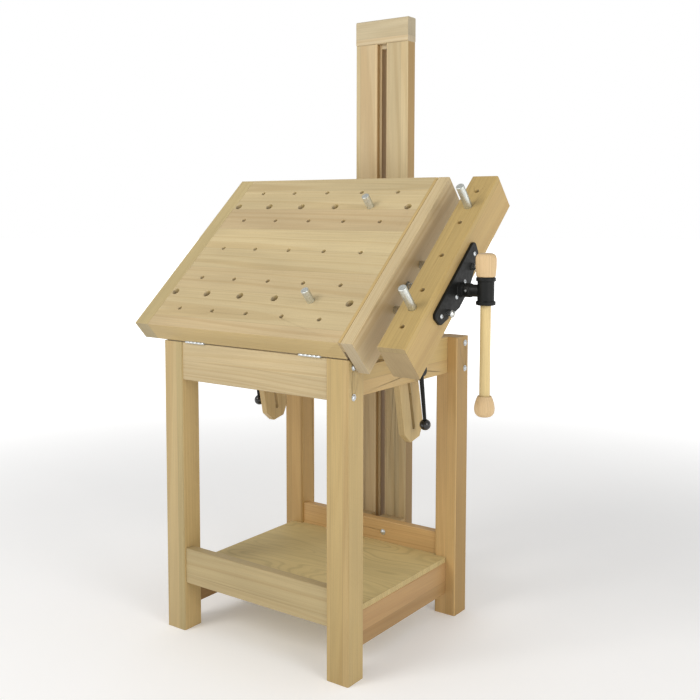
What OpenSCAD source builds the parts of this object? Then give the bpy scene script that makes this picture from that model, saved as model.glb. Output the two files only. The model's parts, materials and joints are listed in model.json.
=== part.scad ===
// Wood carver's bench: a four-legged stand with a shelf and a slotted rear mast, and a
// hinged, perforated top with a side vise. Millimetres. The origin is the centre of the
// stand's footprint on the floor: +X to the user's right, +Y to the back, +Z up.

/* [Stand] */
// Width of the stand over the legs
stand_w = 650; // [600:10:700]
// Depth of the stand over the legs
stand_d = 610; // [600:5:620]
// Height of the legs
stand_h = 840; // [800:10:900]
// Leg section along the width
leg_w = 70; // [60:1:70]
// Leg section along the depth
leg_d = 68; // [60:1:70]
// Height of the aprons
apron_h = 108; // [90:1:120]
// Height of the front and back lower stretchers
rail_h = 102; // [80:1:120]
// Height of the lower stretchers' underside
rail_z = 140; // [120:5:160]
// Thickness of the plywood shelf
shelf_t = 16; // [12:1:18]

/* [Mast] */
// Top of the mast
mast_h = 1800; // [1500:10:1900]
// Width of one mast upright at the front
upright_w = 80; // [70:1:90]
// Thickness of the mast
mast_t = 44; // [40:1:50]
// Width of the mast slot at the front
slot_front = 34; // [30:1:40]
// Width of the mast slot at the back
slot_back = 18; // [14:1:22]

/* [Top] */
// Tilt of the top as modelled, in degrees
tilt = 42; // [20:1:60]
// Width of the drilled panel with its left end board
panel_w = 722; // [700:1:730]
// Depth of the top, up the slope
top_l = 618; // [560:1:620]
// Thickness of the panel
panel_t = 62; // [50:1:65]
// Diameter of the large holes, for the bench dogs
dog_hole_d = 22; // [20:1:24]
// Diameter of the small holes
peg_hole_d = 13; // [10:1:16]
// Spacing of the hole columns
hole_pitch = 124; // [120:1:126]

/* [Vise] */
// Gap between the end board and the jaw as modelled
vise_gap = 70; // [68:1:100]
// Width of the wooden jaw
jaw_w = 78; // [70:1:90]
// Depth of the wooden jaw
jaw_h = 110; // [100:1:112]
// Length of the vise handle rod over its knobs
handle_l = 409; // [380:1:440]

/* [Hidden] */
$fn = 64;

beech = "burlywood";
steel = "silver";
black = "dimgray";
big = 2000;
run_gap = 0.05;
edge = 2;

// Stand
side_x = stand_w/2 - leg_w;
side_y = stand_d/2 - leg_d;
apron_t = 40;
apron_inset = 4;
side_t = 28;
side_inset = 32;
side_out = stand_w/2 - side_inset;
side_in = side_out - side_t;
rail_t = 30;
rail_inset = 7;
tenon_l = 26;
tenon_t = 12;
side_rail_z = 63;
side_rail_h = 97;
shelf_z = side_rail_z + side_rail_h;
rail_back_y = stand_d/2 - 60;
notch_front = -145;
notch_back = 72;
notch_depth = 30;

// Frame bolts and their barrel nuts
bolt_r = 4;
bolt_y = stand_d/2 - 22;
bolt_zs = [stand_h - 20, stand_h - 96];
bolt_l = 110;
barrel_x = side_x - 32;
barrel_r = 7;

// Mast
mast_y = stand_d/2 + 13;
head_h = 74;
slot_step = 16;
tongue_h = 14;
mast_bolt_x = 62;
mast_bolt_zs = [205, 786];
mast_x = slot_front/2 + upright_w;

// Hinge line of the top, and the top's own axes: x, u up the slope, n out of its face
pin_y = -stand_d/2;
pin_z = stand_h + 1.5;
pin_r = 1.8;
knuckle_r = 3.6;
leaf_t = 1.5;
leaf_w = 27;
hinge_l = 70;
leaf_screw_xs = [-24, 0, 24];
leaf_screw_y = 17;
leaf_screw_l = 14;
hinge_x = 203;
knuckles = 5;
knuckle_gap = 0.4;
panel_n = leaf_t;
top_n = panel_n + panel_t;
panel_x = -399;
left_board_w = 52;
strip_w = 8;
strip_h = 35;
board_x = panel_x + panel_w + strip_w;
board_w = 36;
board_h = 112;
rows_small = [69, 191, 313, 435, 557];
rows_large = [130, 496];
large_x = panel_x + 68;
small_x = large_x + hole_pitch/2;

// Stays, their pivots under the top and the clamp bolts in the side aprons
clamp_y = 62;
clamp_z = 765;
stay_drop = 41.5;
reach = sqrt(pow(clamp_y - pin_y, 2) + pow(clamp_z - pin_z, 2));
stay_u = sqrt(pow(reach, 2) - pow(stay_drop, 2));
clamp_angle = atan2(clamp_z - pin_z, clamp_y - pin_y);
pivot_angle = tilt - atan2(stay_drop, stay_u);
stay_lean = (clamp_angle + pivot_angle)/2;
pivot_y = pin_y + reach*cos(pivot_angle);
pivot_z = pin_z + reach*sin(pivot_angle);
stay_x = side_in - 20.5;
stay_t = 20;
stay_w = 100;
stay_neck_r = 22;
stay_slot_w = 13;
stay_slot_top = 31;
stay_slot_end = 478;
stay_end = 516;
clamp_r = 5;
block_t = 24;
lever_lean = 9;
lever_l = 146;

// Vise
jaw_x = board_x + board_w + vise_gap;
jaw_mid = jaw_x + jaw_w/2;
jaw_out = jaw_x + jaw_w;
jaw_n = top_n - jaw_h;
screw_u = 268;
rod_us = [186, 350];
rod_n = -12.5;
rod_r = 10;
screw_r = 11;
plate_t = 8;
plate_out = jaw_out + plate_t;
hub_l = 14;
rod_end = 11;
plate_points = [[-121, 21], [121, 21], [117, 1], [32, -30], [-32, -30], [-117, 1]];
bridge_x = 144;
bridge_t = 8;
head_x = plate_out + 15;
sleeve_x = jaw_out + 78;
sleeve_r = 21;
sleeve_h = 70;
handle_r = 13.3;
upper_knob_h = 59;
lower_knob_h = 53;
plate_screw_spots = [[-110, 19.5], [-27, 2], [27, 2], [110, 19.5]];
nut_screw_spots = [[-122, -18], [-50, -34], [50, -34], [122, -18]];

// Bench dogs: standing height above the surface, by pair
dog_l = 130;
dog_r = dog_hole_d/2 - 0.08;
jaw_dog_up = 70;
top_dog_up = 40;
top_dog_x = large_x + 4*hole_pitch;

// ---- Shared shapes ----

// A rectangle with small chamfers on its corners
module chamfered(w, h, c) {
    polygon([[c, 0], [w - c, 0], [w, c], [w, h - c], [w - c, h], [c, h], [0, h - c], [0, c]]);
}

// Boards with chamfered long edges, along each axis, from a lowest corner
module plank_x(at, size, c = edge) {
    translate(at) rotate([90, 0, 90]) linear_extrude(size.x) chamfered(size.y, size.z, c);
}

module plank_y(at, size, c = edge) {
    translate([at.x, at.y + size.y, at.z]) rotate([90, 0, 0])
        linear_extrude(size.y) chamfered(size.x, size.z, c);
}

module plank_z(at, size, c = edge) {
    translate(at) linear_extrude(size.z) chamfered(size.x, size.y, c);
}

// A plain block from a lowest corner
module block(at, size) {
    translate(at) cube(size);
}

// A cylinder along +X or +Y from a start point
module rod_x(at, l, r) {
    translate(at) rotate([0, 90, 0]) cylinder(h = l, r = r);
}

module rod_y(at, l, r) {
    translate(at) rotate([-90, 0, 0]) cylinder(h = l, r = r);
}

// A low domed bolt or screw head on a shank, pointing along +Z
module domed_head(r, h) {
    rotate_extrude() {
        intersection() {
            translate([0, h - (r*r + h*h)/(2*h)]) circle((r*r + h*h)/(2*h));
            square([r, h]);
        }
    }
}

// Outline of a convex polygon grown outwards by r, with round corners; points run clockwise
function rounded(points, r, steps = 8) = [
    for (i = [0 : len(points) - 1])
        let (
            count = len(points),
            p = points[i],
            before = p - points[(i + count - 1) % count],
            after = points[(i + 1) % count] - p,
            start = atan2(before.y, before.x) + 90,
            end = atan2(after.y, after.x) + 90,
            turn = end > start ? end - start - 360 : end - start
        )
        for (k = [0 : steps]) p + r*[cos(start + turn*k/steps), sin(start + turn*k/steps)]
];

// Places children in the top's own axes: x, u and n from the hinge line
module on_top() {
    translate([0, pin_y, pin_z]) rotate([tilt, 0, 0]) children();
}

// Places children on a stay: the pivot at the origin and the board hanging along -Z
module on_stay() {
    translate([0, pivot_y, pivot_z]) rotate([stay_lean, 0, 0]) children();
}

// Places children on the vise's screw axis, in the stand's directions
module on_screw() {
    translate([0, pin_y + screw_u*cos(tilt) - rod_n*sin(tilt), pin_z + screw_u*sin(tilt) + rod_n*cos(tilt)])
        children();
}

// ---- Stand ----

// One leg, with mortises for both lower stretchers and holes for its two bolts
module leg(sx, sy) {
    x0 = sx > 0 ? side_x : -stand_w/2;
    y0 = sy > 0 ? side_y : -stand_d/2;
    rail_y = sy > 0 ? rail_back_y : -stand_d/2 + rail_inset;
    color(beech) difference() {
        plank_z([x0, y0, 0], [leg_w, leg_d, stand_h], 3);
        block([sx > 0 ? side_x - 1 : -side_x - tenon_l, rail_y + rail_t/2 - tenon_t/2, rail_z + 10],
              [tenon_l + 1, tenon_t, rail_h - 20]);
        block([sx > 0 ? side_out - side_t/2 - tenon_t/2 : -side_out + side_t/2 - tenon_t/2,
               sy > 0 ? side_y - 1 : -side_y - tenon_l, side_rail_z + 10],
              [tenon_t, tenon_l + 1, side_rail_h - 20]);
        for (z = bolt_zs) {
            rod_x([-stand_w/2 - 1, sy*bolt_y, z], stand_w + 2, bolt_r + 0.1);
        }
    }
}

module leg_front_left() { leg(-1, -1); }
module leg_front_right() { leg(1, -1); }
module leg_back_left() { leg(-1, 1); }
module leg_back_right() { leg(1, 1); }

// Front or back apron between the legs, with bolt holes in its ends and barrel nut holes
module long_apron(sy) {
    y0 = sy > 0 ? stand_d/2 - apron_inset - apron_t : -stand_d/2 + apron_inset;
    color(beech) difference() {
        plank_x([-side_x, y0, stand_h - apron_h], [2*side_x, apron_t, apron_h]);
        for (sx = [-1, 1]) {
            for (z = bolt_zs) {
                rod_x([sx > 0 ? side_x - bolt_l + leg_w : -side_x - 1, sy*bolt_y, z],
                      bolt_l - leg_w + 1, bolt_r + 0.1);
            }
            translate([sx*barrel_x, sy*bolt_y, stand_h - apron_h - 1])
                cylinder(h = apron_h - 12, r = barrel_r + run_gap);
        }
        if (sy < 0) {
            for (hx = [-1, 1]) {
                for (x = leaf_screw_xs) {
                    translate([hx*hinge_x + x, pin_y + leaf_screw_y, stand_h - 16]) cylinder(h = 20, r = 2.05);
                }
            }
        }
        if (sy > 0) {
            for (sx = [-1, 1]) {
                rod_y([sx*mast_bolt_x, 0, mast_bolt_zs[1]], big, bolt_r + 0.1);
            }
        }
    }
}

module apron_front() { long_apron(-1); }
module apron_back() { long_apron(1); }

// Side apron with the clamp bolt's hole; the right one is notched for the vise rods
module side_apron(sx) {
    x0 = sx > 0 ? side_in : -side_out;
    color(beech) difference() {
        plank_y([x0, -side_y, stand_h - apron_h], [side_t, 2*side_y, apron_h]);
        rod_x([-big/2, clamp_y, clamp_z], big, clamp_r + 0.1);
        if (sx > 0) {
            block([0, notch_front, stand_h - notch_depth], [big, notch_back - notch_front, big]);
        }
    }
}

module apron_left() { side_apron(-1); }
module apron_right() { side_apron(1); }

// Front or back lower stretcher with a tenon at each end
module long_rail(sy) {
    y0 = sy > 0 ? rail_back_y : -stand_d/2 + rail_inset;
    color(beech) difference() {
        union() {
            plank_x([-side_x, y0, rail_z], [2*side_x, rail_t, rail_h]);
            block([-side_x - tenon_l, y0 + rail_t/2 - tenon_t/2, rail_z + 10],
                  [2*(side_x + tenon_l), tenon_t, rail_h - 20]);
        }
        if (sy > 0) {
            for (sx = [-1, 1]) {
                rod_y([sx*mast_bolt_x, 0, mast_bolt_zs[0]], big, bolt_r + 0.1);
            }
        }
    }
}

module stretcher_front() { long_rail(-1); }
module stretcher_back() { long_rail(1); }

// Side lower stretcher with a tenon at each end; the shelf lies on its top edge
module side_rail(sx) {
    x0 = sx > 0 ? side_in : -side_out;
    color(beech) {
        plank_y([x0, -side_y, side_rail_z], [side_t, 2*side_y, side_rail_h]);
        block([x0 + side_t/2 - tenon_t/2, -side_y - tenon_l, side_rail_z + 10],
              [tenon_t, 2*(side_y + tenon_l), side_rail_h - 20]);
    }
}

module stretcher_left() { side_rail(-1); }
module stretcher_right() { side_rail(1); }

// Plywood shelf between the front and back stretchers, notched round the legs
module shelf() {
    front = -stand_d/2 + rail_inset + rail_t + 0.5;
    back = rail_back_y - 0.5;
    color("wheat") difference() {
        block([-side_out, front, shelf_z], [2*side_out, back - front, shelf_t]);
        for (sx = [-1, 1]) {
            for (sy = [-1, 1]) {
                block([sx > 0 ? side_x - 1 : -big/2, sy > 0 ? side_y - 1 : -big/2, 0],
                      [big/2 - side_x + 1, big/2 - side_y + 1, big]);
            }
        }
    }
}

// One bolt with a washer and a domed head, lying along +X with its head at x = 0
module frame_bolt() {
    rod_x([0, 0, 0], bolt_l, bolt_r);
    rod_x([-1.6, 0, 0], 1.6, 9);
    translate([-1.6, 0, 0]) rotate([0, -90, 0]) domed_head(7, 3.8);
}

module frame_bolts() {
    color(steel) for (sx = [-1, 1]) {
        for (sy = [-1, 1]) {
            for (z = bolt_zs) {
                translate([sx*stand_w/2, sy*bolt_y, z]) rotate([0, 0, sx > 0 ? 180 : 0]) frame_bolt();
            }
        }
    }
}

// Barrel nuts that the frame bolts screw into, upright in the aprons
module barrel_nuts() {
    color(steel) for (sx = [-1, 1]) {
        for (sy = [-1, 1]) {
            for (z = bolt_zs) {
                difference() {
                    translate([sx*barrel_x, sy*bolt_y, z - 14]) cylinder(h = 20, r = barrel_r);
                    rod_x([sx*barrel_x - 20, sy*bolt_y, z], 40, bolt_r + 0.1);
                }
            }
        }
    }
}

// ---- Mast ----

// One upright: its inner edge is stepped, so the pair makes a stepped slot
module upright(sx) {
    lip = (slot_front - slot_back)/2;
    color(beech) difference() {
        union() {
            plank_z([sx > 0 ? slot_front/2 : -mast_x, mast_y, rail_z],
                    [upright_w, mast_t, mast_h - head_h - rail_z], 3);
            block([sx > 0 ? slot_back/2 : -slot_front/2 - 5, mast_y + slot_step, rail_z],
                  [lip + 5, mast_t - slot_step, mast_h - head_h - rail_z]);
        }
        for (z = mast_bolt_zs) {
            rod_y([sx*mast_bolt_x, mast_y - 1, z], mast_t + 2, bolt_r + 0.1);
        }
        translate([sx*mast_bolt_x, mast_y + mast_t/2, mast_h - head_h - 35]) cylinder(h = 40, r = 6);
    }
}

module mast_upright_left() { upright(-1); }
module mast_upright_right() { upright(1); }

// Head block across both uprights, dowelled on, with a tongue that closes the rear of the slot
module mast_head() {
    color(beech) difference() {
        union() {
            plank_x([-mast_x, mast_y, mast_h - head_h], [2*mast_x, mast_t, head_h], 3);
            block([-slot_back/2, mast_y + slot_step, mast_h - head_h - tongue_h],
                  [slot_back, mast_t - slot_step, tongue_h + 5]);
        }
        for (sx = [-1, 1]) {
            translate([sx*mast_bolt_x, mast_y + mast_t/2, mast_h - head_h - 5]) cylinder(h = 40, r = 6);
        }
    }
}

module mast_dowels() {
    color("wheat") for (sx = [-1, 1]) {
        translate([sx*mast_bolt_x, mast_y + mast_t/2, mast_h - head_h - 35]) cylinder(h = 70, r = 6);
    }
}

// Packing blocks between the stand and each upright
module packing(y0, z0, h) {
    color(beech) difference() {
        for (sx = [-1, 1]) {
            plank_z([sx > 0 ? slot_front/2 : -mast_x, y0, z0], [upright_w, mast_y - y0, h], 1.5);
        }
        for (sx = [-1, 1]) {
            for (z = mast_bolt_zs) {
                rod_y([sx*mast_bolt_x, 0, z], big, bolt_r + 0.1);
            }
        }
    }
}

module mast_packing_lower() { packing(rail_back_y + rail_t, rail_z, 96); }
module mast_packing_upper() { packing(stand_d/2 - apron_inset, stand_h - apron_h, apron_h - 4); }

// Carriage bolts through the stand, the packing and the mast, with washers and nuts behind
module mast_bolts() {
    y_front = [rail_back_y, stand_d/2 - apron_inset - apron_t];
    y_back = mast_y + mast_t;
    color(steel) for (sx = [-1, 1]) {
        for (i = [0, 1]) {
            rod_y([sx*mast_bolt_x, y_front[i] - 1.6, mast_bolt_zs[i]], y_back + 15 - y_front[i], bolt_r);
            rod_y([sx*mast_bolt_x, y_front[i] - 1.6, mast_bolt_zs[i]], 1.6, 9);
            translate([sx*mast_bolt_x, y_front[i] - 1.6, mast_bolt_zs[i]]) rotate([90, 0, 0]) domed_head(7.5, 4);
            rod_y([sx*mast_bolt_x, y_back, mast_bolt_zs[i]], 1.6, 9);
            translate([sx*mast_bolt_x, y_back + 1.6, mast_bolt_zs[i]]) rotate([-90, 0, 0])
                cylinder(h = 6.5, r = 7.5, $fn = 6);
        }
    }
}

// ---- Hinges ----

// The knuckles of one side: every second length of the barrel, bored for the pin
module knuckle_set(first) {
    step = hinge_l/knuckles;
    for (i = [first : 2 : knuckles - 1]) {
        difference() {
            rod_x([-hinge_l/2 + i*step + knuckle_gap/2, 0, 0], step - knuckle_gap, knuckle_r);
            rod_x([-hinge_l, 0, 0], 2*hinge_l, pin_r + run_gap);
        }
    }
}

// A leaf lying behind the pin, its inner edge cut back between its own knuckles
module leaf(first, z0) {
    step = hinge_l/knuckles;
    difference() {
        block([-hinge_l/2, 0, z0], [hinge_l, leaf_w, leaf_t]);
        for (i = [1 - first : 2 : knuckles - 1]) {
            rod_x([-hinge_l/2 + i*step - knuckle_gap/2, 0, 0], step + knuckle_gap, knuckle_r + 0.5);
        }
        rod_x([-hinge_l, 0, 0], 2*hinge_l, pin_r + run_gap);
        for (x = leaf_screw_xs) {
            translate([x, leaf_screw_y, -10]) cylinder(h = 20, r = 2.1);
        }
    }
}

module hinge_leaves_stand() {
    color(steel) for (sx = [-1, 1]) {
        translate([sx*hinge_x, pin_y, pin_z]) {
            knuckle_set(0);
            leaf(0, -leaf_t);
        }
    }
}

module hinge_leaves_top() {
    color(steel) on_top() for (sx = [-1, 1]) {
        translate([sx*hinge_x, 0, 0]) {
            knuckle_set(1);
            leaf(1, 0);
        }
    }
}

module hinge_pins() {
    color(steel) for (sx = [-1, 1]) {
        rod_x([sx*hinge_x - hinge_l/2 - 1, pin_y, pin_z], hinge_l + 2, pin_r);
    }
}

// Three screws a leaf, driven along -Z from z = 0
module leaf_screws() {
    for (sx = [-1, 1]) {
        for (x = leaf_screw_xs) {
            translate([sx*hinge_x + x, leaf_screw_y, -leaf_screw_l]) cylinder(h = leaf_screw_l, r = 2);
        }
    }
}

module hinge_screws_stand() { color(steel) translate([0, pin_y, pin_z]) leaf_screws(); }
module hinge_screws_top() { color(steel) on_top() mirror([0, 0, 1]) leaf_screws(); }

// ---- Stays and clamps ----

// Clamp bolt: a washer and head inside the stay, and a threaded end outside the apron
module clamp_bolt(sx) {
    color(steel) mirror([sx > 0 ? 0 : 1, 0, 0]) {
        rod_x([stay_x - 3, clamp_y, clamp_z], side_out + 25 - stay_x, clamp_r);
        rod_x([stay_x - 3, clamp_y, clamp_z], 2.5, 15);
        translate([stay_x - 3, clamp_y, clamp_z]) rotate([0, -90, 0]) domed_head(9, 5);
    }
}

module clamp_bolt_left() { clamp_bolt(-1); }
module clamp_bolt_right() { clamp_bolt(1); }

// Clamp lever: a bored hub with a tapering arm that hangs beside the apron
module clamp_lever(sx) {
    color(black) mirror([sx > 0 ? 0 : 1, 0, 0]) translate([side_out + 0.5, clamp_y, clamp_z])
        difference() {
            union() {
                rod_x([0, 0, 0], 27, 15);
                rod_x([0, 0, 0], 3, 17);
                rotate([lever_lean, 0, 0]) translate([15.5, 0, -lever_l]) cylinder(h = lever_l, r1 = 5, r2 = 7);
            }
            rod_x([-1, 0, 0], 24, clamp_r + run_gap);
        }
}

module clamp_lever_left() { clamp_lever(-1); }
module clamp_lever_right() { clamp_lever(1); }

// The ball on the lever's end, with a flat where it meets the arm
module lever_ball(sx) {
    color("black") mirror([sx > 0 ? 0 : 1, 0, 0]) translate([side_out + 16, clamp_y, clamp_z])
        rotate([lever_lean, 0, 0]) translate([0, 0, -lever_l - 14]) intersection() {
            sphere(16);
            translate([-20, -20, -20]) cube([40, 40, 34]);
        }
}

module lever_ball_left() { lever_ball(-1); }
module lever_ball_right() { lever_ball(1); }

// Slotted stay: a round neck at the pivot that widens to the full board
module stay(x0) {
    half = stay_w/2;
    slot_r = stay_slot_w/2;
    color(beech) on_stay() translate([x0, 0, 0]) difference() {
        rotate([90, 0, 90]) linear_extrude(stay_t) difference() {
            union() {
                circle(stay_neck_r);
                polygon([[-stay_neck_r, 0], [stay_neck_r, 0], [half, -100], [half, -stay_end + 32],
                         [half - 26, -stay_end], [-half + 26, -stay_end], [-half, -stay_end + 32], [-half, -100]]);
            }
            translate([-slot_r, -stay_slot_end]) square([stay_slot_w, stay_slot_end - stay_slot_top]);
            translate([0, -stay_slot_top]) circle(slot_r);
            translate([0, -stay_slot_end]) circle(slot_r);
        }
        rod_x([-1, 0, 0], stay_t + 2, clamp_r + run_gap);
    }
}

module stay_left() { stay(-stay_x - stay_t); }
module stay_right() { stay(stay_x); }

// Pivot block under the top; the right one lets the back guide rod through
module pivot_block(sx) {
    x0 = sx > 0 ? stay_x - block_t - 0.5 : -stay_x + 0.5;
    u0 = stay_u - 62;
    color(beech) on_top() difference() {
        plank_x([x0, u0, -stay_drop - 20], [block_t, 100, stay_drop + 20 + panel_n], 1);
        rod_x([-big/2, stay_u, -stay_drop], big, clamp_r + run_gap);
        if (sx > 0) {
            rod_x([0, rod_us[1], rod_n], big, rod_r + 3);
        }
    }
}

module pivot_block_left() { pivot_block(-1); }
module pivot_block_right() { pivot_block(1); }

module pivot_bolts() {
    color(steel) on_top() for (sx = [-1, 1]) {
        mirror([sx > 0 ? 0 : 1, 0, 0]) translate([stay_x - block_t - 0.5, stay_u, -stay_drop]) {
            rod_x([-8, 0, 0], block_t + stay_t + 8, clamp_r);
            rod_x([-2, 0, 0], 2, 12);
            translate([-2, 0, 0]) rotate([0, -90, 0]) cylinder(h = 7, r = 8.5, $fn = 6);
        }
    }
}

// ---- Top ----

// The hole centres [x, u] in two grids: large dog holes and small peg holes
large_holes = [for (i = [0 : 5], u = rows_large) [large_x + i*hole_pitch, u]];
small_holes = [for (i = [0 : 4], u = rows_small) [small_x + i*hole_pitch, u]];

module top_panel() {
    x0 = panel_x + left_board_w;
    color(beech) on_top() difference() {
        block([x0, 0, panel_n], [panel_w - left_board_w, top_l, panel_t]);
        for (p = large_holes) {
            translate([p.x, p.y, panel_n - 1]) cylinder(h = panel_t + 2, r = dog_hole_d/2);
        }
        for (p = small_holes) {
            translate([p.x, p.y, panel_n - 1]) cylinder(h = panel_t + 2, r = peg_hole_d/2);
        }
        for (sx = [-1, 1]) {
            rod_x([sx*hinge_x - hinge_l/2 - 2, 0, 0], hinge_l + 4, knuckle_r + 0.6);
            for (x = leaf_screw_xs) {
                translate([sx*hinge_x + x, leaf_screw_y, 0]) cylinder(h = 16, r = 2.05);
            }
        }
    }
}

module end_board_left() {
    color(beech) on_top() plank_y([panel_x, 0, panel_n], [left_board_w, top_l, panel_t], 1.5);
}

module end_board_right() {
    color(beech) on_top() difference() {
        plank_y([board_x, 0, top_n - board_h], [board_w, top_l, board_h], 1.5);
        for (u = rod_us) {
            rod_x([0, u, rod_n], big, rod_r + run_gap);
        }
        rod_x([0, screw_u, rod_n], big, screw_r + 3);
        for (p = nut_screw_spots) {
            rod_x([board_x - 1, screw_u + p.x, p.y], 27, 3.05);
        }
    }
}

// Narrow strip that packs the joint between the panel and the right end board
module panel_strip() {
    color("wheat") on_top() block([board_x - strip_w, 1, top_n - strip_h], [strip_w, top_l - 2, strip_h]);
}

// Nut and guide casting on the end board's inner face
module vise_nut_plate() {
    color(black) on_top() difference() {
        union() {
            block([board_x - strip_w, screw_u - 134, -46], [strip_w, 268, 46.5]);
            for (u = rod_us) {
                rod_x([board_x - 31, u, rod_n], 30, 12.8);
            }
            rod_x([board_x - 31, screw_u, rod_n], 30, 12.8);
            block([board_x - 31, screw_u - 16, -34], [30, 32, 21]);
        }
        for (u = rod_us) {
            rod_x([0, u, rod_n], big, rod_r + run_gap);
        }
        rod_x([0, screw_u, rod_n], big, screw_r + run_gap);
        for (p = nut_screw_spots) {
            rod_x([board_x - strip_w - 1, screw_u + p.x, p.y], 12, 3.05);
        }
    }
}

module nut_plate_screws() {
    color(steel) on_top() for (p = nut_screw_spots) {
        translate([board_x - strip_w, screw_u + p.x, p.y]) {
            rod_x([0, 0, 0], strip_w + 25, 3);
            rotate([0, -90, 0]) domed_head(5.5, 3);
        }
    }
}

// ---- Vise jaw ----

module jaw_beam() {
    color(beech) on_top() difference() {
        plank_y([jaw_x, 0, jaw_n], [jaw_w, top_l, jaw_h], 3);
        for (u = rows_small) {
            translate([jaw_mid, u, top_n - 60]) cylinder(h = 61, r = peg_hole_d/2);
        }
        for (u = rows_large) {
            translate([jaw_mid, u, jaw_n - 1]) cylinder(h = jaw_h + 2, r = dog_hole_d/2);
        }
        for (u = rod_us) {
            rod_x([0, u, rod_n], big, rod_r + run_gap);
        }
        rod_x([0, screw_u, rod_n], big, screw_r + 0.5);
        for (p = plate_screw_spots) {
            rod_x([jaw_out - 36, screw_u + p.x, rod_n + p.y], 40, 3.05);
        }
    }
}

// Front casting: a flat plate with a deeper middle and a tapered hub round the screw
module vise_plate() {
    color(black) on_top() translate([jaw_out, screw_u, rod_n]) difference() {
        union() {
            rotate([90, 0, 90]) linear_extrude(plate_t) translate([0, 12])
                polygon(rounded(plate_points, 12));
            translate([plate_t - 1, 0, 0]) rotate([0, 90, 0]) cylinder(h = hub_l + 1, r1 = 19.5, r2 = 17);
        }
        rod_x([-1, 0, 0], 40, screw_r + run_gap);
        for (u = rod_us) {
            rod_x([-1, u - screw_u, 0], 40, rod_r + run_gap);
        }
        for (p = plate_screw_spots) {
            rod_x([-1, p.x, p.y], 40, 3.05);
        }
    }
}

module plate_screws() {
    color(steel) on_top() for (p = plate_screw_spots) {
        translate([plate_out, screw_u + p.x, rod_n + p.y]) {
            rod_x([-40, 0, 0], 40, 3);
            rotate([0, 90, 0]) domed_head(6, 3);
        }
    }
}

// Two guide rods: a domed outer end past the plate, and a threaded stub through the bridge
module guide_rods() {
    inner = bridge_x + bridge_t;
    color(steel) on_top() for (u = rod_us) {
        translate([0, u, rod_n]) {
            rod_x([inner, 0, 0], plate_out + rod_end - inner, rod_r);
            rod_x([bridge_x - 12, 0, 0], 13 + bridge_t, 6);
            translate([plate_out + rod_end, 0, 0]) rotate([0, 90, 0]) domed_head(rod_r, 6);
        }
    }
}

// Flat bar that ties the inner ends of the rods and steadies the screw
module rod_bridge() {
    color(steel) on_top() difference() {
        block([bridge_x, rod_us[0] - 16, rod_n - 16], [bridge_t, rod_us[1] - rod_us[0] + 32, 28]);
        for (u = rod_us) {
            rod_x([0, u, rod_n], big, 6 + run_gap);
        }
        rod_x([0, screw_u, rod_n], big, screw_r + run_gap);
    }
}

module rod_nuts() {
    color(steel) on_top() for (u = rod_us) {
        difference() {
            translate([bridge_x - 10, u, rod_n]) rotate([0, 90, 0]) cylinder(h = 10, r = 10.5, $fn = 6);
            rod_x([0, u, rod_n], big, 6 + run_gap);
        }
    }
}

// ---- Screw and handle ----

module vise_screw() {
    color(steel) on_screw() rod_x([bridge_x - 14, 0, 0], head_x + 24 - bridge_x + 14, screw_r);
}

// T-shaped head: a collar and neck on the screw, and an upright sleeve for the handle
module screw_head() {
    color(black) on_screw() difference() {
        union() {
            rod_x([head_x, 0, 0], sleeve_x - head_x, 15.5);
            rod_x([head_x, 0, 0], 15, 17.8);
            translate([sleeve_x, 0, -sleeve_h/2]) cylinder(h = sleeve_h, r = sleeve_r);
            for (z = [-sleeve_h/2, sleeve_h/2 - 11]) {
                translate([sleeve_x, 0, z]) rotate_extrude() {
                    translate([sleeve_r - 4, 0]) square([4, 11]);
                    translate([sleeve_r - 1.5, 1]) square([5, 9]);
                }
            }
        }
        rod_x([head_x - 1, 0, 0], 25.5, screw_r + run_gap);
        translate([sleeve_x, 0, -sleeve_h/2 - 1]) cylinder(h = sleeve_h + 2, r = handle_r + run_gap);
        rod_y([head_x + 7.5, -30, 0], 30 - screw_r + 2, 3.05);
    }
}

module set_screw() {
    color(steel) on_screw() rod_y([head_x + 7.5, -18.5, 0], 7, 3);
}

// Everything on the handle is placed from the sleeve's centre
module on_handle() {
    on_screw() translate([sleeve_x, 0, 0]) children();
}

upper_knob_z = sleeve_h/2 + 0.3;
lower_knob_z = upper_knob_z + upper_knob_h - handle_l;

module handle_rod() {
    rod_z = lower_knob_z + lower_knob_h - 25;
    color("cornsilk") on_handle() translate([0, 0, rod_z]) cylinder(h = upper_knob_z + 25 - rod_z, r = handle_r);
}

// Upper knob: nearly straight, with a rounded top
module handle_knob_upper() {
    top_r = 12;
    color("navajowhite") on_handle() translate([0, 0, upper_knob_z]) rotate_extrude() difference() {
        union() {
            polygon([[0, 0], [22.5, 0], [24, 2], [26, 22], [26, upper_knob_h - top_r], [0, upper_knob_h - top_r]]);
            square([26 - top_r, upper_knob_h]);
            translate([26 - top_r, upper_knob_h - top_r]) circle(top_r);
        }
        translate([-1, -1]) square([handle_r + run_gap + 1, 26.5]);
        translate([-big, -big/2]) square([big, big]);
    }
}

// Lower knob: a pear that widens towards its rounded end
module handle_knob_lower() {
    end_r = 18;
    color("navajowhite") on_handle() translate([0, 0, lower_knob_z]) rotate_extrude() difference() {
        union() {
            square([25.5 - end_r, end_r]);
            translate([25.5 - end_r, end_r]) circle(end_r);
            polygon([[0, end_r], [25.5, end_r], [25, 30], [22, 44], [18.5, lower_knob_h - 2],
                     [17, lower_knob_h], [0, lower_knob_h]]);
        }
        translate([-1, lower_knob_h - 25.5]) square([handle_r + run_gap + 1, 30]);
        translate([-big, -big/2]) square([big, big]);
    }
}

// ---- Bench dogs ----

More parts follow.
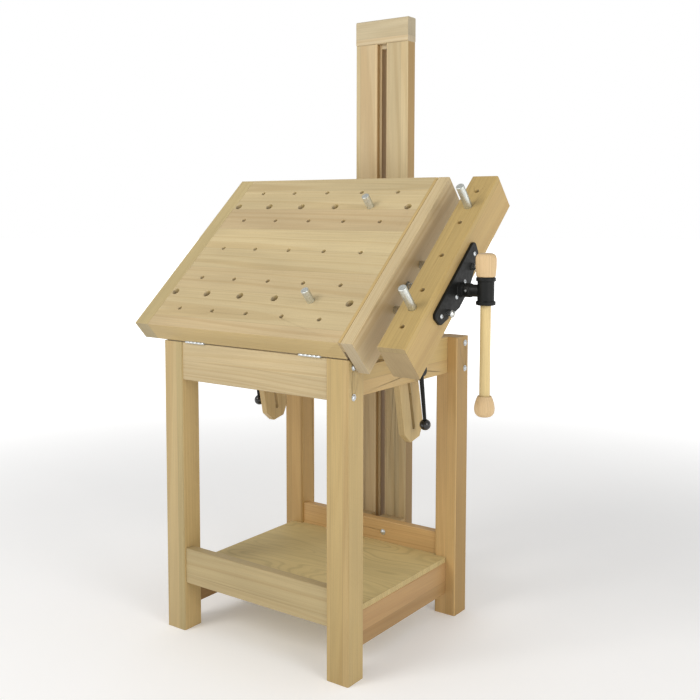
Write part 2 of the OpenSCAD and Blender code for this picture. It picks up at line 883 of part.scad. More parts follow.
// A round dog with a chamfered head, standing out of the surface by up
module dog(x, u, up) {
    color(steel) on_top() translate([x, u, top_n + up - dog_l]) rotate_extrude()
        polygon([[0, 0], [dog_r - 1, 0], [dog_r, 1], [dog_r, dog_l - 1.2], [dog_r - 1.2, dog_l], [0, dog_l]]);
}

module dog_jaw_front() { dog(jaw_mid, rows_large[0], jaw_dog_up); }
module dog_jaw_back() { dog(jaw_mid, rows_large[1], jaw_dog_up); }
module dog_top_front() { dog(top_dog_x, rows_large[0], top_dog_up); }
module dog_top_back() { dog(top_dog_x, rows_large[1], top_dog_up); }

leg_front_left();
leg_front_right();
leg_back_left();
leg_back_right();
apron_front();
apron_back();
apron_left();
apron_right();
stretcher_front();
stretcher_back();
stretcher_left();
stretcher_right();
shelf();
frame_bolts();
barrel_nuts();
mast_upright_left();
mast_upright_right();
mast_head();
mast_dowels();
mast_packing_lower();
mast_packing_upper();
mast_bolts();
hinge_leaves_stand();
hinge_leaves_top();
hinge_pins();
hinge_screws_stand();
hinge_screws_top();
clamp_bolt_left();
clamp_bolt_right();
clamp_lever_left();
clamp_lever_right();
lever_ball_left();
lever_ball_right();
stay_left();
stay_right();
pivot_block_left();
pivot_block_right();
pivot_bolts();
top_panel();
end_board_left();
end_board_right();
panel_strip();
vise_nut_plate();
nut_plate_screws();
jaw_beam();
vise_plate();
plate_screws();
guide_rods();
rod_bridge();
rod_nuts();
vise_screw();
screw_head();
set_screw();
handle_rod();
handle_knob_upper();
handle_knob_lower();
dog_jaw_front();
dog_jaw_back();
dog_top_front();
dog_top_back();
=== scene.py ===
"""Looks of a wood carver's workbench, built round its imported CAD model.

Everything is in metres in the model's own frame: +X to the bench's right, +Y to its back, +Z up.
The wood is carried over from the CAD, softened at its edges and given procedural beech or plywood.
Castings are remeshed for cast fillets. The frame bolts, the plate screws, the vise screw and the handle's
knobs are new meshes that replace their CAD nodes.
"""

import json
import math

import bmesh
import bpy
from mathutils import Matrix, Vector


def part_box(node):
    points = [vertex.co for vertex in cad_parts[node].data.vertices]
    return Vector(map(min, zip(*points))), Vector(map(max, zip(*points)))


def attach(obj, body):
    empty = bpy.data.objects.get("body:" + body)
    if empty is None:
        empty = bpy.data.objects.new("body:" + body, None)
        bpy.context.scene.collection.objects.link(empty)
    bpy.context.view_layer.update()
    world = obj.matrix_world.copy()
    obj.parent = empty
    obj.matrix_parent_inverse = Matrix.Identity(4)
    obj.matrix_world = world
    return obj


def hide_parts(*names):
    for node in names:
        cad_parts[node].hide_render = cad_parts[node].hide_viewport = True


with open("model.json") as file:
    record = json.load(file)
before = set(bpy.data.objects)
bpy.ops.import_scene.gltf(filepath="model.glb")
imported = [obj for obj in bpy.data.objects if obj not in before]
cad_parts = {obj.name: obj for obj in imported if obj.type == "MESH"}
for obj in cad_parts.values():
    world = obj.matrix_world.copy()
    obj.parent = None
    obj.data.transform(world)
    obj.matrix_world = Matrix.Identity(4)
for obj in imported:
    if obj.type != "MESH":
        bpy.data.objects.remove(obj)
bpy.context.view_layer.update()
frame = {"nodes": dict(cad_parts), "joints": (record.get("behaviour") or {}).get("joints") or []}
nodes = frame["nodes"]
joints = {joint["name"]: joint for joint in frame["joints"]}

MM = 0.001
BOARD_EDGE, THIN_EDGE, FINE_EDGE, METAL_EDGE = 0.9 * MM, 0.6 * MM, 0.4 * MM, 0.2 * MM
WELD_GAP = 0.01 * MM
RIGHT, BACK, UP = Vector((1, 0, 0)), Vector((0, 1, 0)), Vector((0, 0, 1))

# The tilting top's own directions, from the axis along which its dogs slide
TOP_OUT = Vector(joints["dog_top_front_slide"]["axis"]).normalized()
TOP_SLOPE = TOP_OUT.cross(RIGHT)
TOP_PIN = Vector(joints["top_tilt"]["pos_m"])
STAY_ALONG = Vector(joints["lever_right_turn"]["pos_m"]) - Vector(joints["stay_right_pivot"]["pos_m"])
STAY_ALONG.x = 0


# ---- Camera, light and floor ----

def make_camera():
    data = bpy.data.cameras.new("camera")
    data.sensor_width = 36
    data.lens = 50.03
    data.shift_y = -0.0857
    camera = bpy.data.objects.new("camera", data)
    bpy.context.scene.collection.objects.link(camera)
    camera.location = (1.7195, -2.2333, 1.2092)
    camera.rotation_euler = (math.radians(90 - 4.668), math.radians(-0.08), math.radians(35.792))
    bpy.context.scene.camera = camera


def area_light(name, place, aim, size, watts, colour):
    data = bpy.data.lights.new(name, "AREA")
    data.shape = "DISK"
    data.size = size
    data.energy = watts
    data.color = colour
    light = bpy.data.objects.new(name, data)
    bpy.context.scene.collection.objects.link(light)
    light.location = place
    light.rotation_euler = (Vector(aim) - Vector(place)).to_track_quat("-Z", "Y").to_euler()


def make_light():
    world = bpy.data.worlds.new("studio")
    bpy.context.scene.world = world
    world.use_nodes = True
    background = world.node_tree.nodes["Background"]
    background.inputs["Color"].default_value = (1.0, 1.0, 1.0, 1)
    lit = world.node_tree.nodes.new("ShaderNodeLightPath")
    strength = world.node_tree.nodes.new("ShaderNodeMapRange")
    strength.inputs["To Min"].default_value = 0.56
    strength.inputs["To Max"].default_value = 1.0
    world.node_tree.links.new(lit.outputs["Is Camera Ray"], strength.inputs["Value"])
    world.node_tree.links.new(strength.outputs["Result"], background.inputs["Strength"])
    area_light("key", (-1.6, -4.2, 3.6), (0, 0, 0.8), 2.4, 100, (1.0, 0.98, 0.95))
    area_light("side", (4.4, -1.2, 2.2), (0, 0, 0.9), 2.4, 58, (1.0, 0.97, 0.93))
    bpy.context.scene.view_settings.view_transform = "Standard"


# ---- Shader building ----

class Shader:
    """A material being built. A socket takes a number, a tuple, or another node's output."""

    def __init__(self, name):
        self.material = bpy.data.materials.new(name)
        self.material.use_nodes = True
        self.tree = self.material.node_tree
        self.tree.nodes.clear()
        self.surface = self.node("BsdfPrincipled")
        self.node("OutputMaterial", {"Surface": self.surface.outputs["BSDF"]})
        self.object = self.node("TexCoord")

    def node(self, kind, sockets=None, **settings):
        made = self.tree.nodes.new("ShaderNode" + kind)
        for key, value in settings.items():
            setattr(made, key, value)
        for key, value in (sockets or {}).items():
            self.fill(made.inputs[key], value)
        return made

    def fill(self, socket, value):
        if isinstance(value, bpy.types.NodeSocket):
            self.tree.links.new(value, socket)
        elif hasattr(value, "__len__") and len(value) == 3 and socket.type == "RGBA":
            socket.default_value = (*value, 1)
        else:
            socket.default_value = value

    def set(self, **sockets):
        for key, value in sockets.items():
            self.fill(self.surface.inputs[key.replace("_", " ")], value)

    def math(self, operation, a, b=0.0, c=0.0):
        return self.node("Math", {0: a, 1: b, 2: c}, operation=operation).outputs[0]

    def mix(self, factor, a, b, blend="MIX"):
        made = self.node("Mix", data_type="RGBA", blend_type=blend)
        self.fill(made.inputs["Factor"], factor)
        self.fill(made.inputs[6], a)
        self.fill(made.inputs[7], b)
        return made.outputs[2]

    def ramp(self, value, low, high, to_low=0.0, to_high=1.0):
        """A smooth step from to_low to to_high while value goes from low to high."""
        sockets = {"Value": value, "From Min": low, "From Max": high, "To Min": to_low, "To Max": to_high}
        return self.node("MapRange", sockets, interpolation_type="SMOOTHSTEP").outputs["Result"]

    def noise(self, vector, stretch=(1, 1, 1), detail=2.0, roughness=0.5):
        """Noise whose frequency along each axis, in cycles per metre, is stretch."""
        scaled = self.node("VectorMath", {0: vector, 1: stretch}, operation="MULTIPLY").outputs[0]
        sockets = {"Vector": scaled, "Scale": 1.0, "Detail": detail, "Roughness": roughness}
        return self.node("TexNoise", sockets).outputs["Fac"]

    def bump(self, height, strength, distance):
        sockets = {"Height": height, "Strength": strength, "Distance": distance}
        return self.node("Bump", sockets).outputs["Normal"]


# ---- Wood ----

FLECK = (0.22, 0.11, 0.045)
PINK = (0.58, 0.37, 0.21)
RINGS_PER_METRE = 330.0
JOINT_WIDTH = 0.7 * MM
FIBRE_DEPTH = 0.3 * MM
PLY = 1.6 * MM


def wood_place(s, grain, across, origin):
    """Coordinates inside a board: x along the grain, y across its staves."""
    x, y = Vector(grain).normalized(), Vector(across).normalized()
    turn = Matrix((x, y, x.cross(y)))
    sockets = {
        "Vector": s.object.outputs["Object"],
        "Rotation": turn.to_euler("XYZ"),
        "Location": turn @ -Vector(origin),
    }
    return s.node("Mapping", sockets).outputs["Vector"]


def facing_share(s, axis):
    """1 on faces square to the axis, 0 on the others: the end grain, when the axis is the grain."""
    along = s.node("VectorMath", {0: s.object.outputs["Normal"], 1: Vector(axis)}, operation="DOT_PRODUCT")
    return s.ramp(s.math("ABSOLUTE", along.outputs["Value"]), 0.75, 0.95)


def wood(name, tone, grain, across, origin=(0, 0, 0), stave=0.07, seed=0.0, figure=1.0, stave_tone=0.1,
         pink=0.25, gloss=0.46, painted_side_shading=(1, 1, 1)):
    """Beech in staves glued side by side: growth rings round each stave's own pith, fibres and flecks.

    The faces at the two ends of `across` are given painted light and shade: their colour is multiplied by a
    tint, darker below 1 and lighter above 1."""
    grain = Vector(grain).normalized()
    s = Shader(name)
    place = wood_place(s, grain, across, origin)
    x, y, z = s.node("SeparateXYZ", {0: place}).outputs
    row = s.math("ADD", s.math("DIVIDE", y, stave), seed)
    voronoi = {"W": row, "Scale": 1.0, "Randomness": 0.55}
    cell = s.node("TexVoronoi", voronoi, voronoi_dimensions="1D")
    gap = s.node("TexVoronoi", voronoi, voronoi_dimensions="1D", feature="DISTANCE_TO_EDGE")
    red, green, blue = s.node("SeparateColor", {0: cell.outputs["Color"]}).outputs
    along = s.math("ADD", x, s.math("MULTIPLY", red, 9.0))
    deep = s.math("ADD", z, s.math("MULTIPLY", green, 3.0))
    inside = s.node("CombineXYZ", {0: along, 1: y, 2: deep}).outputs[0]

    # Growth rings, about 3 mm apart, round a pith that wanders slowly along the grain
    wander = s.math("MULTIPLY", s.math("SUBTRACT", s.noise(inside, (1.6, 5, 5), 1.0), 0.5), 0.03)
    local = s.math("SUBTRACT", row, cell.outputs["W"])
    from_pith = s.math("ADD", s.math("MULTIPLY", local, stave), s.math("MULTIPLY", red, 0.06))
    from_pith = s.math("ADD", from_pith, wander)
    depth = s.math("ADD", s.math("ADD", z, s.math("MULTIPLY", green, 0.05)), 0.02)
    depth = s.math("ADD", depth, s.math("MULTIPLY", along, 0.006))
    ring_at = s.node("CombineXYZ", {0: from_pith, 1: depth, 2: 0.0})
    radius = s.node("VectorMath", {0: ring_at.outputs[0]}, operation="LENGTH").outputs["Value"]
    ring_number = s.math("MULTIPLY", radius, RINGS_PER_METRE)
    rings = s.node("TexNoise", {"W": ring_number, "Scale": 1.0, "Detail": 2.0},
                   noise_dimensions="1D").outputs["Fac"]

    fibres = s.noise(inside, (7, 420, 420), 3.0, 0.6)
    flecks = s.ramp(s.noise(inside, (190, 1500, 1500), 1.0), 0.66, 0.74)
    patches = s.noise(inside, (2.2, 11, 11), 2.0)
    ends = facing_share(s, grain)

    late = tuple(c * k for c, k in zip(tone, (0.80, 0.73, 0.62)))
    ring_share = s.math("MULTIPLY", s.ramp(rings, 0.42, 0.72), 0.55 * figure)
    colour = s.mix(ring_share, tone, late)
    colour = s.mix(s.math("MULTIPLY", green, pink), colour, PINK)
    colour = s.mix(s.math("MULTIPLY", flecks, 0.3), colour, FLECK)
    # Painted light and shade: the faces square to `across` are multiplied by the given side tint.
    colour = s.mix(facing_share(s, across), colour, s.mix(1.0, colour, painted_side_shading, "MULTIPLY"))
    value = s.ramp(fibres, 0.25, 0.75, 0.93, 1.06)
    value = s.math("MULTIPLY", value, s.ramp(patches, 0.3, 0.7, 0.94, 1.06))
    tint = s.math("MULTIPLY_ADD", blue, 2 * stave_tone, 1 - stave_tone)
    value = s.math("MULTIPLY", value, tint)
    joint = s.ramp(gap.outputs["Distance"], 0.0, JOINT_WIDTH / stave, 0.72, 1.0)
    value = s.math("MULTIPLY", value, joint)
    value = s.math("MULTIPLY", value, s.ramp(ends, 0.0, 1.0, 1.0, 0.80))
    saturation = s.ramp(ends, 0, 1, 1.0, 0.85)
    shaded = s.node("HueSaturation", {"Color": colour, "Saturation": saturation, "Value": value})
    rough = s.ramp(fibres, 0.2, 0.8, gloss - 0.05, gloss + 0.08)
    rough = s.math("ADD", rough, s.math("MULTIPLY", ends, 0.2))
    height = s.math("SUBTRACT", fibres, s.math("MULTIPLY", flecks, 0.5))
    height = s.math("ADD", height, s.math("MULTIPLY", joint, 1.5))
    s.set(Base_Color=shaded.outputs[0], Roughness=rough, Specular_IOR_Level=0.35,
          Normal=s.bump(height, 0.25, FIBRE_DEPTH))
    return s.material


def plywood(name, tone, bottom):
    """Birch plywood: a wild rotary-cut figure on the faces, and crossed plies on the edges."""
    s = Shader(name)
    place = s.object.outputs["Object"]
    axes = s.node("SeparateXYZ", {0: place})
    swirl = s.noise(place, (1.5, 5.0, 1), 2.0, 0.45)
    contour = s.node("TexNoise", {"W": s.math("MULTIPLY", swirl, 46.0), "Scale": 1.0, "Detail": 2.0},
                     noise_dimensions="1D").outputs["Fac"]
    fibres = s.noise(place, (9, 380, 1), 3.0, 0.6)
    patches = s.noise(place, (3, 6, 1), 2.0)
    face = s.mix(s.math("MULTIPLY", s.ramp(contour, 0.4, 0.75), 0.6), tone, tuple(c * 0.72 for c in tone))
    level = s.math("DIVIDE", s.math("SUBTRACT", axes.outputs[2], bottom), PLY)
    ply = s.math("FLOORED_MODULO", level, 2.0)
    crossed = s.ramp(ply, 0.95, 1.05)
    glue = s.ramp(s.math("PINGPONG", level, 1.0), 0.0, 0.12, 0.7, 1.0)
    layer = s.noise(place, (60, 60, 2), 3.0)
    light = tuple(c * 1.12 for c in tone)
    dark = tuple(c * k for c, k in zip(tone, (0.62, 0.55, 0.48)))
    edge = s.mix(s.math("MULTIPLY", crossed, s.ramp(layer, 0.3, 0.7, 0.6, 1.0)), light, dark)
    upright = s.math("ABSOLUTE", s.node("SeparateXYZ", {0: s.object.outputs["Normal"]}).outputs[2])
    on_face = s.ramp(upright, 0.6, 0.8)
    colour = s.mix(on_face, edge, face)
    value = s.ramp(fibres, 0.25, 0.75, 0.93, 1.06)
    value = s.math("MULTIPLY", value, s.ramp(patches, 0.3, 0.7, 0.95, 1.05))
    value = s.math("MULTIPLY", value, s.math("MAXIMUM", glue, on_face))
    shaded = s.node("HueSaturation", {"Color": colour, "Value": value})
    s.set(Base_Color=shaded.outputs[0], Roughness=s.ramp(fibres, 0.2, 0.8, 0.5, 0.62),
          Specular_IOR_Level=0.3, Normal=s.bump(fibres, 0.2, FIBRE_DEPTH))
    return s.material


# ---- Metal and plastic ----

def metal(name, tone, rough, mottle=0.1, along=None):
    """Plated or turned steel: a mottled tone and fine marks, drawn out round `along` where it is given."""
    s = Shader(name)
    place = s.object.outputs["Object"]
    spots = s.noise(place, (260, 260, 260), 3.0, 0.6)
    stretch = Vector((900, 900, 900))
    if along is not None:
        stretch = Vector([4000 if abs(c) > 0.5 else 160 for c in along])
    marks = s.noise(place, stretch, 2.0, 0.6)
    value = s.ramp(spots, 0.3, 0.7, 1 - mottle, 1 + mottle)
    shaded = s.node("HueSaturation", {"Color": (*tone, 1), "Value": value})
    s.set(Base_Color=shaded.outputs[0], Metallic=1.0,
          Roughness=s.ramp(marks, 0.2, 0.9, rough - 0.05, rough + 0.12),
          Normal=s.bump(marks, 0.12, 0.2 * MM))
    return s.material


def casting(name):
    """Satin black paint on a sand-cast surface, thinner on its raised grain."""
    s = Shader(name)
    place = s.object.outputs["Object"]
    grain = s.noise(place, (700, 700, 700), 3.0, 0.6)
    dents = s.noise(place, (120, 120, 120), 2.0)
    worn = s.ramp(grain, 0.55, 0.85, 0.0, 0.35)
    s.set(Base_Color=s.mix(worn, (0.006, 0.0065, 0.006), (0.022, 0.023, 0.021)),
          Roughness=s.ramp(dents, 0.3, 0.7, 0.4, 0.52),
          Specular_IOR_Level=0.25, Normal=s.bump(s.math("ADD", grain, dents), 0.22, 0.5 * MM))
    return s.material


def gloss_plastic(name):
    """Polished black phenolic plastic with faint flow marks."""
    s = Shader(name)
    place = s.object.outputs["Object"]
    flow = s.noise(place, (40, 40, 90), 2.0)
    s.set(Base_Color=s.mix(flow, (0.006, 0.006, 0.006), (0.014, 0.014, 0.015)),
          Roughness=s.ramp(flow, 0.3, 0.7, 0.1, 0.18),
          Coat_Weight=0.4, Coat_Roughness=0.05)
    return s.material


def floor_paper(name):
    """Pale floor that fades to white far from the bench."""
    s = Shader(name)
    place = s.object.outputs["Object"]
    away = s.node("VectorMath", {0: place}, operation="LENGTH").outputs["Value"]
    glow = s.ramp(away, 1.2, 6.0, 0.14, 1.0)
    soft = s.noise(place, (3, 3, 3), 2.0)
    s.set(Base_Color=s.mix(soft, (0.93, 0.93, 0.93), (0.90, 0.90, 0.90)), Roughness=0.9,
          Specular_IOR_Level=0.1, Emission_Color=(1, 1, 1), Emission_Strength=glow)
    return s.material


# ---- Meshes ----

def new_piece(name, bm, material):
    mesh = bpy.data.meshes.new(name)
    bmesh.ops.recalc_face_normals(bm, faces=bm.faces)
    bm.to_mesh(mesh)
    bm.free()
    mesh.materials.append(material)
    mesh.shade_smooth()
    mesh.set_sharp_from_angle(angle=math.radians(35))
    piece = bpy.data.objects.new(name, mesh)
    bpy.context.scene.collection.objects.link(piece)
    return piece


def stands_for(piece, node, body):
    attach(piece, body)
    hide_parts(node)


def facing(place, axis):
    """A matrix that puts a turned shape's base at place with its height along axis."""
    turn = Vector(axis).to_track_quat("Z", "Y").to_matrix().to_4x4()
    return Matrix.Translation(place) @ turn


def turn_into(bm, matrix, profile, sides):
    """Adds a turned solid to bm. A profile point is (radius, height), or (flat, height, 6) for six flats.

    A point on the axis closes the solid there. Without such ends the profile closes on itself, as a ring
    does."""
    rings = []
    for radius, height, *flats in profile:
        if radius == 0:
            rings.append([bm.verts.new(matrix @ Vector((0, 0, height)))])
            continue
        ring = []
        for k in range(sides):
            angle = 2 * math.pi * k / sides
            reach = radius
            if flats:
                sector = 2 * math.pi / flats[0]
                reach = radius / math.cos((angle + sector / 2) % sector - sector / 2)
            point = Vector((reach * math.cos(angle), reach * math.sin(angle), height))
            ring.append(bm.verts.new(matrix @ point))
        rings.append(ring)
    if len(rings[0]) > 1:
        rings.append(rings[0])
    for low, high in zip(rings, rings[1:]):
        for k in range(sides):
            corners = [low[k % len(low)], low[(k + 1) % len(low)]]
            corners += [high[(k + 1) % len(high)], high[k % len(high)]]
            bm.faces.new(list(dict.fromkeys(corners)))


def between(a, b, c, d, t):
    """Catmull-Rom: the value a share t of the way from b to c, with a before them and d after."""
    squared, cubed = 2 * a - 5 * b + 4 * c - d, 3 * b - a - 3 * c + d
    return 0.5 * (2 * b + (c - a) * t + squared * t * t + cubed * t ** 3)


def flowing(points, steps=6):
    """A smooth curve through the points of a profile."""
    ends = [points[0], *points, points[-1]]
    made = []
    for four in zip(ends, ends[1:], ends[2:], ends[3:]):
        for k in range(steps):
            made.append(tuple(between(*values, k / steps) for values in zip(*four)))
    return [*made, points[-1]]


def dress(name, material, edge=0.0):
    """Gives a CAD node its material, and rounds its edges by edge."""
    node = nodes[name]
    node.data.materials.clear()
    node.data.materials.append(material)
    if edge:
        node.modifiers.new("weld", "WELD").merge_threshold = WELD_GAP
        bevel = node.modifiers.new("round", "BEVEL")
        bevel.width = edge
        bevel.segments = 2
        bevel.limit_method = "ANGLE"
        bevel.angle_limit = math.radians(32)
        bevel.use_clamp_overlap = False
        bevel.harden_normals = True
    return node


def cast(name, material, voxel=0.9 * MM):
    """Gives a CAD node the soft fillets of a casting."""
    node = dress(name, material)
    node.modifiers.new("weld", "WELD").merge_threshold = WELD_GAP
    remesh = node.modifiers.new("skin", "REMESH")
    remesh.mode = "VOXEL"
    remesh.voxel_size = voxel
    remesh.use_smooth_shade = True
    smooth = node.modifiers.new("fillets", "SMOOTH")
    smooth.factor = 0.5
    smooth.iterations = 4


# ---- The bench's wood ----

TAN = (0.52, 0.395, 0.185)
PALE = (0.60, 0.48, 0.275)
GOLD = (0.52, 0.375, 0.155)
RUSSET = (0.385, 0.235, 0.09)


def dress_stand():
    # A tone, and the painted light and shade on the left and right faces
    legs = {
        "leg_front_left": ((0.43, 0.34, 0.16), (1.3, 1.22, 1.15)),
        "leg_front_right": ((0.50, 0.365, 0.155), (1.06, 1.1, 1.1)),
        "leg_back_left": ((0.44, 0.285, 0.105), (1.2, 1.2, 1.15)),
        "leg_back_right": ((0.57, 0.38, 0.155), (0.65, 0.61, 0.5)),
    }
    for k, (name, (tone, painted_side_shading)) in enumerate(legs.items()):
        beech = wood(name + "_beech", tone, UP, RIGHT, stave=0.034, seed=3.7 * k, stave_tone=0.06,
                     painted_side_shading=painted_side_shading)
        dress(name, beech, BOARD_EDGE)
    long_rails = {
        "apron_front": (0.50, 0.40, 0.225),
        "apron_back": TAN,
        "stretcher_front": (0.485, 0.385, 0.20),
        "stretcher_back": (0.60, 0.39, 0.16),
    }
    for k, (name, tone) in enumerate(long_rails.items()):
        beech = wood(name + "_beech", tone, RIGHT, UP, stave=0.31, seed=5.3 + 2.9 * k, figure=1.2)
        dress(name, beech, BOARD_EDGE)
    side_rails = {
        "apron_left": TAN,
        "apron_right": GOLD,
        "stretcher_left": RUSSET,
        "stretcher_right": RUSSET,
    }
    for k, (name, tone) in enumerate(side_rails.items()):
        dress(name, wood(name + "_beech", tone, BACK, UP, stave=0.06, seed=8.1 + 1.7 * k), BOARD_EDGE)
    dress("shelf", plywood("shelf_birch", (0.58, 0.46, 0.215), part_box("shelf")[0].z), THIN_EDGE)


def dress_mast():
    for k, name in enumerate(("mast_upright_left", "mast_upright_right")):
        # Painted shade darkens the uprights' left and right faces, through the last tint.
        beech = wood(name + "_beech", (0.505, 0.41, 0.23), UP, RIGHT, stave=0.05, seed=2.3 + 4.1 * k,
                     pink=0.4, painted_side_shading=(0.70, 0.58, 0.43))
        dress(name, beech, BOARD_EDGE)
    head = wood("mast_head_beech", (0.48, 0.40, 0.25), RIGHT, UP, stave=0.09, seed=6.4)
    dress("mast_head", head, BOARD_EDGE)
    packing = wood("packing_beech", GOLD, UP, RIGHT, seed=1.1)
    dress("mast_packing_lower", packing, THIN_EDGE)
    dress("mast_packing_upper", packing, THIN_EDGE)
    dress("mast_dowels", wood("dowel_beech", PALE, UP, RIGHT, seed=4.4), FINE_EDGE)


def dress_top():
    # Painted shade darkens the panel's front and back edges, through the last tint.
    panel = wood("panel_beech", (0.575, 0.47, 0.26), RIGHT, TOP_SLOPE, TOP_PIN, stave=0.086, seed=4.2,
                 stave_tone=0.08, pink=0.35, painted_side_shading=(0.88, 0.86, 0.72))
    dress("top_panel", panel, THIN_EDGE)
    left = wood("left_board_beech", (0.455, 0.37, 0.18), TOP_SLOPE, RIGHT, TOP_PIN, stave=0.12, seed=1.9)
    dress("end_board_left", left, BOARD_EDGE)
    right = wood("right_board_beech", PALE, TOP_SLOPE, TOP_OUT, TOP_PIN, stave=0.2, seed=7.3)
    dress("end_board_right", right, BOARD_EDGE)
    dress("panel_strip", wood("strip_beech", GOLD, TOP_SLOPE, RIGHT, TOP_PIN, seed=3.3), FINE_EDGE)
    jaw = wood("jaw_beech", (0.46, 0.33, 0.12), TOP_SLOPE, TOP_OUT, TOP_PIN, stave=0.2, seed=9.6,
               stave_tone=0.04)
    dress("jaw_beam", jaw, BOARD_EDGE)
    blocks = wood("pivot_block_beech", TAN, TOP_SLOPE, TOP_OUT, TOP_PIN, seed=5.5)
    dress("pivot_block_left", blocks, BOARD_EDGE)
    dress("pivot_block_right", blocks, BOARD_EDGE)


def dress_stays():
    for k, name in enumerate(("stay_left", "stay_right")):
        dress(name, wood(name + "_beech", TAN, STAY_ALONG, BACK, stave=0.12, seed=2.2 + 3 * k), BOARD_EDGE)


# ---- The bench's metal ----

# All in mm: bolts by their distance from the leg's back face and top, screws by u and n from the vise screw
BOLT_INSET = 22
BOLT_DROPS = (20, 96)
PLATE_SCREW_SPOTS = ((-110, 19.5), (-27, 2), (27, 2), (110, 19.5))
PLATE_SCREW_DOME = 3
WASHER_T = 1.6
HEAD_SIDES = 36


def button_head(head, height, shank, length, washer=0.0, key=2.0):
    """A bolt's profile, from sizes in mm: a shank that runs down, a washer if given, a domed socket head."""
    points = [(0, -length), (shank - 0.4, -length), (shank, -length + 0.6), (shank, 0)]
    base = 0.0
    if washer:
        rim = washer - 0.25
        points += [(rim, 0), (washer, 0.25), (washer, WASHER_T - 0.25), (rim, WASHER_T)]
        base = WASHER_T
    points += [(head - 0.2, base), (head, base + 0.3)]
    rise = height - 0.3
    for k in range(1, 6):
        angle = math.radians(11.5 * k)
        points.append((head * math.cos(angle), base + 0.3 + rise * math.sin(angle)))
    top = points[-1][1] + 0.15
    points += [(key + 0.75, top), (key, top - 0.15, 6), (key, top - 2.0, 6), (0, top - 2.3)]
    return [(r * MM, h * MM, *flats) for r, h, *flats in points]


def make_frame_bolts(material):
    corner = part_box("leg_back_right")[1]
    deep = corner.y - BOLT_INSET * MM
    profile = button_head(7, 3.8, 4, 110, washer=9)
    bm = bmesh.new()
    for side in (-1, 1):
        for y in (-deep, deep):
            for drop in BOLT_DROPS:
                place = (side * corner.x, y, corner.z - drop * MM)
                turn_into(bm, facing(place, RIGHT * side), profile, HEAD_SIDES)
    stands_for(new_piece("frame_bolts_socketed", bm, material), "frame_bolts", "stand")


def make_plate_screws(material):
    axis = Vector(joints["screw_turn"]["pos_m"])
    axis.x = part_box("plate_screws")[1].x - PLATE_SCREW_DOME * MM
    profile = button_head(6, PLATE_SCREW_DOME, 3, 40, key=1.7)
    bm = bmesh.new()
    for along, out in PLATE_SCREW_SPOTS:
        place = axis + TOP_SLOPE * along * MM + TOP_OUT * out * MM
        turn_into(bm, facing(place, RIGHT), profile, HEAD_SIDES)
    stands_for(new_piece("plate_screws_socketed", bm, material), "plate_screws", "jaw")


def make_screw_thread(material):
    """The vise screw with its trapezoidal thread, one helix from end to end."""
    pitch, crest, root = 6 * MM, 10.9 * MM, 8.7 * MM
    sides = 32
    low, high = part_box("vise_screw")
    place = facing((low.x, (low.y + high.y) / 2, (low.z + high.z) / 2), RIGHT)
    length = high.x - low.x
    steps = ((0.0, root), (0.36, root), (0.48, crest), (0.88, crest))
    count = len(steps)
    rows = count * (int(length / pitch) + 3)
    bm = bmesh.new()
    columns = []
    for i in range(sides):
        angle = 2 * math.pi * i / sides
        column = []
        for j in range(rows):
            share, radius = steps[j % count]
            height = pitch * (j // count - 1 + share + i / sides)
            if not 0 < height < length:
                height, radius = min(max(height, 0.0), length), root
            point = Vector((radius * math.cos(angle), radius * math.sin(angle), height))
            column.append(bm.verts.new(place @ point))
        columns.append(column)
    columns.append(columns[0][count:])
    for left, right in zip(columns, columns[1:]):
        for j in range(rows - count - 1):
            bm.faces.new((left[j], right[j], right[j + 1], left[j + 1]))
    bmesh.ops.remove_doubles(bm, verts=bm.verts, dist=0.001 * MM)
    bmesh.ops.delete(bm, geom=[v for v in bm.verts if not v.link_faces], context="VERTS")
    bmesh.ops.holes_fill(bm, edges=[e for e in bm.edges if e.is_boundary], sides=0)
    stands_for(new_piece("vise_screw_threaded", bm, material), "vise_screw", "screw")


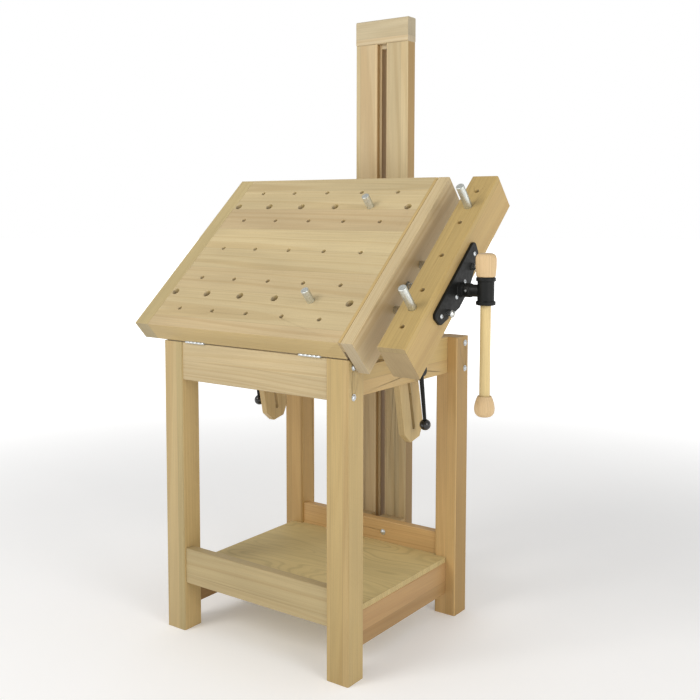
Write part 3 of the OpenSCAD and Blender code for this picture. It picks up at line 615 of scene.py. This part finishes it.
def dress_hardware():
    zinc = metal("zinc_plate", (0.66, 0.69, 0.71), 0.38, 0.12)
    for name in ("hinge_leaves_stand", "hinge_leaves_top", "hinge_pins", "hinge_screws_stand",
                 "hinge_screws_top", "barrel_nuts", "clamp_bolt_left", "clamp_bolt_right", "pivot_bolts",
                 "mast_bolts", "nut_plate_screws", "rod_bridge", "rod_nuts", "set_screw"):
        dress(name, zinc, METAL_EDGE)
    make_frame_bolts(zinc)
    make_plate_screws(zinc)
    bright = metal("bright_steel_turned", (0.66, 0.67, 0.65), 0.24, 0.06, RIGHT)
    dress("guide_rods", bright)
    make_screw_thread(bright)
    dog = metal("dog_zinc", (0.66, 0.68, 0.64), 0.4, 0.16)
    for name in ("dog_jaw_front", "dog_jaw_back", "dog_top_front", "dog_top_back"):
        dress(name, dog, FINE_EDGE)
    black = casting("black_paint")
    for name in ("vise_plate", "screw_head", "vise_nut_plate"):
        cast(name, black)
    for side in ("left", "right"):
        cast("clamp_lever_" + side, black, 0.7 * MM)
        dress("lever_ball_" + side, gloss_plastic("ball_plastic_" + side))


def make_knob(name, profile, material):
    """Replaces a knob of the handle by a turned one, with its profile in mm from the knob's lower end."""
    low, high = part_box(name)
    bm = bmesh.new()
    place = facing(((low.x + high.x) / 2, (low.y + high.y) / 2, low.z), UP)
    turn_into(bm, place, [(r * MM, h * MM) for r, h in profile], 64)
    stands_for(new_piece(name + "_turned", bm, material), name, "handle")


def dress_handle():
    rod = wood("rod_beech", (0.60, 0.465, 0.225), UP, RIGHT, stave=0.3, figure=0.5, pink=0.0, gloss=0.4)
    knob = wood("knob_beech", (0.66, 0.475, 0.26), UP, RIGHT, stave=0.3, seed=3.1, figure=0.7, pink=0.0)
    dress("handle_rod", rod, FINE_EDGE)
    crown = [(22.9, 0.4), (23.9, 2.4), (24.8, 9), (25.7, 21), (26, 34), (25.7, 46), (22.8, 54),
             (16, 58.2), (8, 59)]
    make_knob("handle_knob_upper", [(0, 25.5), (13.5, 25.5), (13.5, 0.8), (14.2, 0), (22.2, 0),
                                    *flowing(crown), (0, 59)], knob)
    pear = [(8, 0.1), (16.5, 2.4), (23, 9), (25.5, 19), (24.6, 31), (21.4, 43), (18.4, 50.2), (17.7, 52.3)]
    make_knob("handle_knob_lower", [(0, 0), *flowing(pear), (16.9, 53), (14.2, 53), (13.5, 52.2),
                                    (13.5, 27.5), (0, 27.5)], knob)


def make_floor():
    bm = bmesh.new()
    bmesh.ops.create_circle(bm, cap_ends=True, segments=96, radius=40)
    floor = new_piece("floor", bm, floor_paper("floor_paper"))


make_camera()
make_light()
make_floor()
dress_stand()
dress_mast()
dress_top()
dress_stays()
dress_hardware()
dress_handle()
